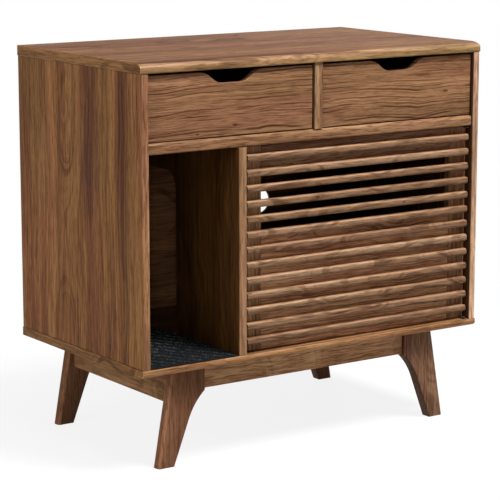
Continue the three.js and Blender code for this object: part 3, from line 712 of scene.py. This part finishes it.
# %% The row of slats
first_place = (slat_low.x, slat_high.y, (slat_low.z + slat_high.z) / 2)
row = Recipe("slat_row", Count=len(slat_names), Start=first_place, Pitch=(0.0, 0.0, pitch),
             Finish=finishes["walnut_strip"])
spots = row.node("GeometryNodeMeshLine", {"mode": "OFFSET"},
                 {"Count": row.given("Count"), "Start Location": row.given("Start"),
                  "Offset": row.given("Pitch")})
row.close(row.node("GeometryNodeInstanceOnPoints", {},
                   {"Points": spots, "Instance": row.given("Geometry")}))
slats = placed(row.run(slat), "door_slats", finishes["walnut_strip"], "door", slat_names)
print("slats:", len(slats.data.polygons), "faces")

# %% [markdown]
# ## Screws
# Flat-pack fittings are held by small cross-head screws: in the webs of the drawer slides, in the catch
# and its strike plate, and in the pivot plates. The head is a low dome with a cross cut in it. It is turned
# from a profile, and the cross is pressed in by lowering the middle points. A tree puts one at each place,
# turned by a random amount, as a hand leaves them.

# %% One screw head
CROSS_REACH = 0.6  # share of the radius that the cross takes
CROSS_FLOOR = 0.2  # share of the dome's height that is left in it
CROSS_TOP = 0.95  # height of the four quarters between its arms
PROFILE = ((0.16, CROSS_TOP), (0.34, CROSS_TOP), (0.52, CROSS_TOP), (0.8, 0.6), (0.96, 0.22), (1.0, 0.0))


def screw_master(radius, dome, steps=24):
    shape = bmesh.new()
    middle = shape.verts.new((0, 0, dome * 0.25))
    rings = []
    for share, height in PROFILE:
        ring = []
        for i in range(steps):
            a = 2 * math.pi * i / steps
            in_cross = abs(math.cos(2 * a)) > 0.8 and share < CROSS_REACH
            spot = (radius * share * math.cos(a), radius * share * math.sin(a))
            ring.append(shape.verts.new((*spot, dome * (CROSS_FLOOR if in_cross else height))))
        rings.append(ring)
    for i in range(steps):
        shape.faces.new((middle, rings[0][i], rings[0][(i + 1) % steps]))
        for inner, outer in zip(rings, rings[1:]):
            shape.faces.new((inner[i], outer[i], outer[(i + 1) % steps], inner[(i + 1) % steps]))
    shape.faces.new(list(reversed(rings[-1])))
    bmesh.ops.recalc_face_normals(shape, faces=shape.faces)
    return drawn_mesh(shape, "screw_master")


print("screw head:", len(screw_master(0.003, 0.0009).polygons), "faces")

# %% [markdown]
# ### A group of screws
# Each group has its places as loose points, a direction in which its heads look, and a seed for how far
# each is turned. The tree aims the head first and spins it about its own axis after that.

# %% A group of screws
def screws(name, spots, facing, finish, body, radius=0.003, dome=0.0009):
    master = bpy.data.objects.new("screw", screw_master(radius, dome))
    points = bpy.data.meshes.new("spots")
    points.from_pydata(spots, [], [])
    recipe = Recipe("screw_row", Screw=master, Facing=tuple(map(float, facing)), Seed=11,
                    Finish=finishes[finish])
    angle = recipe.node("FunctionNodeRandomValue", {"data_type": "FLOAT"},
                        {2: 0.0, 3: math.pi, "Seed": recipe.given("Seed")}, 1)
    spin = recipe.node("FunctionNodeAxisAngleToRotation", {}, {"Axis": (0, 0, 1), "Angle": angle})
    aim = recipe.node("FunctionNodeAlignRotationToVector", {"axis": "Z"},
                      {"Vector": recipe.given("Facing")})
    turn = recipe.node("FunctionNodeRotateRotation", {"rotation_space": "LOCAL"},
                       {"Rotation": aim, "Rotate By": spin})
    head = recipe.node("GeometryNodeObjectInfo", {}, {"Object": recipe.given("Screw")}, "Geometry")
    recipe.close(recipe.node("GeometryNodeInstanceOnPoints", {},
                             {"Points": recipe.given("Geometry"), "Instance": head, "Rotation": turn}))
    piece = placed(recipe.run(points), name, finishes[finish], body, angle=35)
    bpy.data.objects.remove(master)
    print(piece.name, len(spots))


print("groups of screws can be made")

# %% [markdown]
# ### Screws of the slides
# Each drawer slide is a channel on the cabinet and a smaller one on the drawer box. Three screws go through
# the web of each, and their heads stand on the web's inner face, one sheet's thickness from its outer one.

# %% Screws of the slides
sheet = 0.0015  # thickness of the channels' steel
for drawer in ("left_drawer", "right_drawer"):
    for side, way in (("left", 1), ("right", -1)):
        low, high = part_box(f"{drawer}_{side}_cabinet_slide")
        web = (low.x if way == 1 else high.x) + way * sheet
        rows = [(web, low.y + step, (low.z + high.z) / 2) for step in (0.02, 0.16, 0.31)]
        screws(f"{drawer}_{side}_cabinet_screws", rows, (way, 0, 0), "zinc_plate", "cabinet")
        low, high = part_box(f"{drawer}_{side}_box_slide")
        web = (high.x if way == 1 else low.x) - way * sheet
        rows = [(web, low.y + step, (low.z + high.z) / 2) for step in (0.03, 0.17, 0.32)]
        screws(f"{drawer}_{side}_box_screws", rows, (-way, 0, 0), "zinc_plate", drawer)

# %% [markdown]
# ### Screws of the catch and the pivots
# The catch hangs under the drawer shelf on two screws from below, its strike plate has one in the middle,
# and each pivot plate has two, in the top or bottom edge of the door. The smaller heads are flatter, as
# screws for thin plate are.

# %% Screws of the catch and the pivots
small_radius, flat_dome, low_dome = 0.0026, 0.0002, 0.0003
low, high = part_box("magnetic_catch")
spots = [(low.x + share * (high.x - low.x), (low.y + high.y) / 2, low.z) for share in (0.17, 0.83)]
screws("catch_screws", spots, (0, 0, -1), "zinc_plate", "cabinet")
low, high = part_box("catch_strike")
middle = ((low.x + high.x) / 2, high.y, (low.z + high.z) / 2)
screws("strike_screw", [middle], (0, 1, 0), "zinc_plate", "door", small_radius, flat_dome)
plate_edges = {"upper_pivot_plate": (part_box("door_top_rail")[1].z, 1),
               "lower_pivot_plate": (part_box("door_lower_panel")[0].z, -1)}
for plate, (edge, way) in plate_edges.items():
    low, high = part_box(plate)
    spots = [(low.x + step, high.y - 0.0045, edge) for step in (0.006, 0.018)]
    screws(plate + "_screws", spots, (0, 0, way), "dark_steel", "door", small_radius, low_dome)

# %% [markdown]
# ## The entry mat
# The mat on the floor of the entry bay catches litter from the cat's paws. It is a charcoal mat of looped
# yarn on a thin rubber back, with a few paler loops in it and faint slanting ribs. Fur or hair would be too
# soft for it. Each loop is a short bent tube, and a tree sets thousands of them on a grid, each a little
# moved and turned, and lower in the valleys of the ribs.

# %% Finish of the mat
mat_low, mat_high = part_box("entry_mat")
rib_pitch = 0.022  # from rib to rib
RIB_X, RIB_Y = 0.864, 0.503  # direction across the ribs


def yarn():
    f = Finish("mat_yarn")
    x, y, z = f.place()
    spot = f.node("ShaderNodeCombineXYZ", {}, {0: x, 1: y * 0.5, 2: 0.0})
    cell = f.node("ShaderNodeTexVoronoi", {}, {"Vector": spot, "Scale": 330.0}, "Color")
    chance = f.node("ShaderNodeSeparateColor", {}, {0: cell})
    fuzz = f.noise(x * 3000.0, y * 3000.0, z * 3000.0, 2.0)
    # painted highlight on the loop tips and painted shade at their roots, by height
    painted_tip_light = f.smooth(z, mat_low.z + 0.0028, mat_high.z)
    # painted shade in the valleys of the ribs
    rib = f.sine((x * RIB_X + y * RIB_Y) * (2 * math.pi / rib_pitch))
    # painted light that lifts the pile towards the back, where it lies in shade
    painted_back_light = f.smooth(y, -0.2, 0.0)
    tone = painted_tip_light * 0.35 + chance * 0.5 + fuzz * 0.15 + rib * 0.07 + painted_back_light * 0.2 - 0.04
    color = f.ramp(tone, [(0.25, linear("161718")), (0.5, linear("212325")), (0.7, linear("3b3f41")),
                          (0.85, linear("6e7274"))])
    return f.finish(color, 0.85 + fuzz * 0.1, fuzz, 0.0002, Specular_IOR_Level=0.1)


finishes["mat_yarn"] = yarn()
finishes["mat_rubber"] = moulded("mat_rubber", linear("161718"), 0.8, 0.1)
print("finishes of the mat: 2")

# %% [markdown]
# ### The mat's rubber back
# The back is the CAD slab pressed down to a little under half its height, so that it keeps the outline and
# the rounded corners, and leaves room for the loops above it.

# %% The rubber back
back_share = 0.45
shape = bmesh.new()
shape.from_mesh(nodes["entry_mat"].data)
bmesh.ops.remove_doubles(shape, verts=shape.verts, dist=SAME_CORNER)
for vertex in shape.verts:
    vertex.co.z = mat_low.z + (vertex.co.z - mat_low.z) * back_share
settle(shape, "mat_backing", finishes["mat_rubber"], "cabinet", ["entry_mat"])
print("mat:", [round(v * 1000) for v in mat_high - mat_low], "mm")

# %% [markdown]
# ### One loop of yarn
# A loop is half a ring of thick yarn that stands on the back. Thousands are seen at once and from far away,
# so a tube of three sides and four steps is enough.

# %% One loop of yarn
def loop_master(span, height, thick, steps=4, sides=3):
    shape = bmesh.new()
    rings = []
    for i in range(steps + 1):
        a = math.pi * i / steps
        core = Vector((-span / 2 * math.cos(a), 0, (height - thick) * math.sin(a)))
        out = Vector((-math.cos(a), 0, math.sin(a)))
        rings.append([shape.verts.new(core + (out * math.cos(b) + Vector((0, math.sin(b), 0))) * thick)
                      for b in (2 * math.pi * j / sides for j in range(sides))])
    for first, second in zip(rings, rings[1:]):
        for j in range(sides):
            k = (j + 1) % sides
            shape.faces.new((first[j], second[j], second[k], first[k]))
    shape.faces.new(rings[0])
    shape.faces.new(list(reversed(rings[-1])))
    bmesh.ops.recalc_face_normals(shape, faces=shape.faces)
    return drawn_mesh(shape, "loop_master")


pile_foot = mat_low.z + 0.0019  # just inside the rubber back
loop = loop_master(0.0026, mat_high.z - pile_foot, 0.00075)
print("loop:", len(loop.polygons), "faces")

# %% [markdown]
# ### The pile
# The tree spreads a grid of points over the back, moves each by up to half a millimetre, and sets a loop on
# it, turned by chance. The loops are lower in the valleys between the slanting ribs.

# %% The pile
margin, loop_pitch = 0.004, 0.0036
wide, deep = mat_high.x - mat_low.x - 2 * margin, mat_high.y - mat_low.y - 2 * margin
pile = Recipe("mat_pile", Width=wide, Depth=deep, Columns=int(wide / loop_pitch),
              Rows=int(deep / loop_pitch), Ribs=rib_pitch, Seed=5, Finish=finishes["mat_yarn"])
grid = pile.node("GeometryNodeMeshGrid", {}, {"Size X": pile.given("Width"), "Size Y": pile.given("Depth"),
                                             "Vertices X": pile.given("Columns"),
                                             "Vertices Y": pile.given("Rows")})
stray = pile.node("FunctionNodeRandomValue", {"data_type": "FLOAT_VECTOR"},
                  {0: (-0.0005, -0.0005, 0), 1: (0.0005, 0.0005, 0), "Seed": pile.given("Seed")})
moved = pile.node("GeometryNodeSetPosition", {}, {"Geometry": grid, "Offset": stray})
x, y, z = pile.split(pile.node("GeometryNodeInputPosition", {}, {}))
wave = pile.sine((x * RIB_X + y * RIB_Y) * (2 * math.pi) / pile.given("Ribs"))
chance = pile.node("FunctionNodeRandomValue", {"data_type": "FLOAT"},
                   {2: 0.86, 3: 1.0, "Seed": pile.given("Seed")}, 1)
size = pile.node("ShaderNodeCombineXYZ", {}, {0: 1.0, 1: 1.0, 2: chance * (0.82 + wave * 0.18)})
twist = pile.node("FunctionNodeRandomValue", {"data_type": "FLOAT_VECTOR"},
                  {0: (0, 0, -0.5), 1: (0, 0, 0.5), "Seed": pile.given("Seed")})
pile.close(pile.node("GeometryNodeInstanceOnPoints", {},
                     {"Points": moved, "Instance": pile.given("Geometry"), "Rotation": twist,
                      "Scale": size}))
mesh = pile.run(loop)
centre = (mat_low + mat_high) / 2
mesh.transform(Matrix.Translation((centre.x, centre.y, pile_foot)))
loops = placed(mesh, "mat_loops", finishes["mat_yarn"], "cabinet", angle=60)
print("loops:", len(loops.data.polygons) // len(loop.polygons), "faces:", len(loops.data.polygons))

# %% [markdown]
# ## The studio
# The photograph is a cut-out on pure white, as if lit by large soft lights from above and in front: the
# left side is darker and the inside almost black. The same comes from a few wide area lamps. The floor is
# white to the camera, but it keeps part of its true shade near the cabinet, so the shadow stays.

# %% Floor
def floor_finish():
    f = Finish("studio_floor")
    x, y, z = f.place()
    seen = f.unlit()
    far = f.smooth((x * x + y * y) ** 0.5, 0.5, 1.6)
    share = seen * (0.86 + far * 0.14)
    white = f.node("ShaderNodeEmission", {}, {"Color": (1, 1, 1, 1), "Strength": 1.0})
    matt = f.node("ShaderNodeBsdfDiffuse", {}, {"Color": f.mix(seen, (0.42, 0.42, 0.42, 1), (1, 1, 1, 1))})
    both = f.node("ShaderNodeMixShader", {}, {0: share, 1: matt, 2: white})
    f.tree.links.new(both.socket, f.tree.nodes["Material Output"].inputs["Surface"])
    return f.material


reach = 30
mesh = bpy.data.meshes.new("floor")
mesh.from_pydata([(-reach, -reach, 0), (reach, -reach, 0), (reach, reach, 0), (-reach, reach, 0)], [],
                 [(0, 1, 2, 3)])
mesh.materials.append(floor_finish())
floor = bpy.data.objects.new("floor", mesh)
bpy.context.scene.collection.objects.link(floor)
print("floor:", 2 * reach, "m wide")

# %% [markdown]
# ### The sky
# Light comes from all round the studio too, but weakly. The camera and what mirrors see the same sky as
# pure white, so the white background lights the wood only through its faint sheen.

# %% Sky
world = bpy.data.worlds.new("sky")
bpy.context.scene.world = world
world.use_nodes = True
sky = Sheet(world.node_tree)
sky_level = 0.14
glow = sky.node("ShaderNodeBackground", {}, {"Color": (1, 1, 1, 1), "Strength": sky_level})
bright = sky.node("ShaderNodeBackground", {}, {"Color": (1, 1, 1, 1), "Strength": 1.0})
pick = sky.node("ShaderNodeMixShader", {}, {0: sky.unlit(), 1: glow, 2: bright})
sky.tree.links.new(pick.socket, sky.tree.nodes["World Output"].inputs["Surface"])
print("sky level:", sky_level)

# %% [markdown]
# ### The lamps
# A large lamp high in front gives the slats their bright upper edges, one above lifts the top, and a weak
# one lights the left side, which stays darker than the front. One low behind keeps the back from going
# black. A narrow soft spot from straight below the camera reaches into the entry bay, as light from a
# white room would.

# %% Lamps
def hung(light, place, aim):
    holder = bpy.data.objects.new(light.name, light)
    holder.location = place
    holder.rotation_euler = (Vector(aim) - holder.location).to_track_quat("-Z", "Y").to_euler()
    bpy.context.scene.collection.objects.link(holder)
    return holder


def lamp(name, place, aim, size, power):
    light = bpy.data.lights.new(name, "AREA")
    light.shape, light.size, light.energy = "DISK", size, power
    hung(light, place, aim).visible_camera = False


lamp("key_lamp", (1.0, -2.3, 4.7), (0, 0, 0.45), 1.8, 315)
lamp("top_lamp", (-0.4, -0.9, 4.2), (0, 0, 0.5), 2.2, 45)
lamp("side_lamp", (-4.0, -1.0, 1.6), (0, 0, 0.3), 2.2, 56)
lamp("back_lamp", (2.4, 3.4, 0.36), (0, 0, 0.4), 0.7, 60)

beam = bpy.data.lights.new("bay_lamp", "SPOT")
beam.energy, beam.shadow_soft_size = 90, 0.08
beam.spot_size, beam.spot_blend = math.radians(5.6), 0.6
hung(beam, (-2.33, -3.35, 0.78), (-0.285, -0.228, 0.4))

# %% [markdown]
# ## Colours as given
# The colours are shown plainly, as they were given.

# %% Colours as given
bpy.context.scene.view_settings.view_transform = "Standard"
